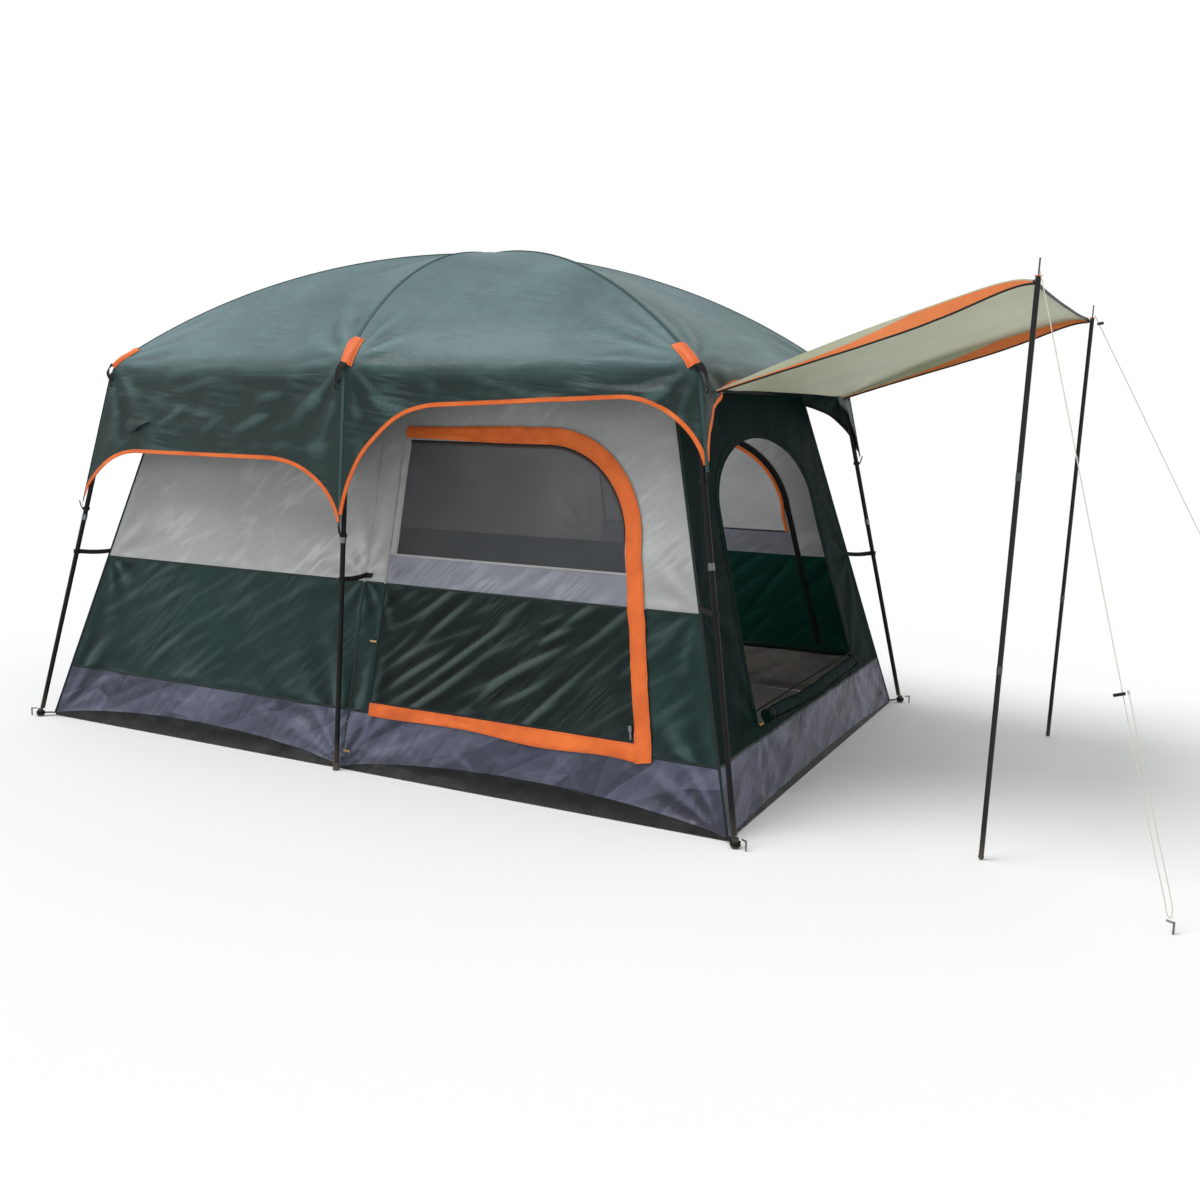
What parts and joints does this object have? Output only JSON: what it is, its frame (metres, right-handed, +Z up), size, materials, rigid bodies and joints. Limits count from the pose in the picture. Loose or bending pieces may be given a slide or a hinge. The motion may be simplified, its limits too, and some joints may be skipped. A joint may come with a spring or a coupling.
{
  "type": "cabin tent",
  "caption": "Dome-topped cabin tent on slanted legs with a zipped door in each side, an open end doorway and an awning on two poles with guylines.",
  "frame": {"origin": "centre of the groundsheet's underside, on the ground", "axes": "+X towards the awning along the long side, +Y to the back side, +Z up"},
  "size_m": [4.889, 2.684, 1.9999],
  "materials": {
    "leg_steel": "satin",
    "ferrule_metal": "satin",
    "black_plastic": "matte",
    "fibreglass": "satin",
    "black_webbing": "woven",
    "fly_cloth": "coated taffeta",
    "valance_cloth": "coated taffeta",
    "orange_cloth": "coated taffeta",
    "mesh_cloth": "fine mesh",
    "grey_cloth": "coated taffeta",
    "green_cloth": "coated taffeta",
    "groundsheet_black": "coated cloth",
    "skirt_grey": "coated cloth",
    "tan_toggle": "gloss",
    "pale_cord": "braided",
    "awning_cloth": "coated taffeta"
  },
  "bodies": {
    "tent": {"leg_front_left": "leg_steel", "leg_front_middle": "leg_steel", "leg_front_right": "leg_steel", "leg_back_left": "leg_steel", "leg_back_middle": "leg_steel", "leg_back_right": "leg_steel", "leg_ferrules": "ferrule_metal", "foot_caps": "black_plastic", "eave_hubs": "black_plastic", "roof_pole_rising": "fibreglass", "roof_pole_falling": "fibreglass", "roof_pole_cross": "fibreglass", "crown_tie": "black_webbing", "gore_front_left": "fly_cloth", "gore_front_right": "fly_cloth", "gore_right_end": "fly_cloth", "gore_back_right": "fly_cloth", "gore_back_left": "fly_cloth", "gore_left_end": "fly_cloth", "valance_front_left": "valance_cloth", "valance_front_right": "valance_cloth", "valance_right_end": "valance_cloth", "valance_back_right": "valance_cloth", "valance_back_left": "valance_cloth", "valance_left_end": "valance_cloth", "fly_pole_tabs": "orange_cloth", "inner_ceiling": "mesh_cloth", "front_left_wall": "grey_cloth", "front_right_wall": "grey_cloth", "back_left_wall": "grey_cloth", "back_right_wall": "grey_cloth", "left_end_wall": "green_cloth", "right_end_wall": "green_cloth", "groundsheet": "groundsheet_black", "skirt_front": "skirt_grey", "skirt_back": "skirt_grey", "skirt_left": "skirt_grey", "skirt_right": "skirt_grey", "rolled_end_door": "green_cloth", "toggles": "tan_toggle", "wall_straps": "black_webbing", "corner_loops": "black_webbing", "corner_pegs": "ferrule_metal", "guyline_pegs": "ferrule_metal", "front_guyline": "pale_cord", "back_guyline": "pale_cord"},
    "front_door": {"front_door_panel": "green_cloth", "front_door_window": "mesh_cloth", "front_zip_tape": "orange_cloth"},
    "front_zip": {"front_zip_slider": "ferrule_metal"},
    "back_door": {"back_door_panel": "green_cloth", "back_door_window": "mesh_cloth", "back_zip_tape": "orange_cloth"},
    "back_zip": {"back_zip_slider": "ferrule_metal"},
    "awning": {"awning_sheet": "awning_cloth"},
    "front_pole": {"front_awning_pole": "leg_steel"},
    "back_pole": {"back_awning_pole": "leg_steel"},
    "front_slider": {"front_tensioner": "black_plastic"},
    "back_slider": {"back_tensioner": "black_plastic"}
  },
  "joints": [
    {"name": "awning_fold", "type": "hinge", "parent": "tent", "child": "awning", "pos_m": [1.36, 0, 1.432], "axis": [0, 1, 0], "range_deg": [0, 85]},
    {"name": "front_pole_tilt", "type": "hinge", "parent": "tent", "child": "front_pole", "pos_m": [2.3, -0.815, 0.009], "axis": [0, 1, 0], "range_deg": [0, 80], "deforming": ["front_guyline"]},
    {"name": "back_pole_tilt", "type": "hinge", "parent": "tent", "child": "back_pole", "pos_m": [2.3, 0.815, 0.009], "axis": [0, 1, 0], "range_deg": [0, 80], "deforming": ["back_guyline"]},
    {"name": "front_door_swing", "type": "hinge", "parent": "tent", "child": "front_door", "pos_m": [0.1, -1.0575, 0.01], "axis": [0, 0.2361, 0.9717], "range_deg": [-48, 0]},
    {"name": "back_door_swing", "type": "hinge", "parent": "tent", "child": "back_door", "pos_m": [0.1, 1.0575, 0.01], "axis": [0, -0.2361, 0.9717], "range_deg": [0, 48]},
    {"name": "front_zip_slide", "type": "slide", "parent": "front_door", "child": "front_zip", "axis": [-0.188, 0.2319, 0.9544], "range_m": [0, 0.62]},
    {"name": "back_zip_slide", "type": "slide", "parent": "back_door", "child": "back_zip", "axis": [-0.188, -0.2319, 0.9544], "range_m": [0, 0.62]},
    {"name": "front_tensioner_slide", "type": "slide", "parent": "tent", "child": "front_slider", "axis": [-0.2598, 0.1588, 0.9525], "range_m": [0, 0.2]},
    {"name": "back_tensioner_slide", "type": "slide", "parent": "back_pole", "child": "back_slider", "axis": [0.4261, 0.3457, -0.836], "range_m": [0, 0.25]}
  ],
  "couplings": [
    {"joint": "front_pole_tilt", "follows": "awning_fold", "ratio": 0.94},
    {"joint": "back_pole_tilt", "follows": "awning_fold", "ratio": 0.94}
  ]
}
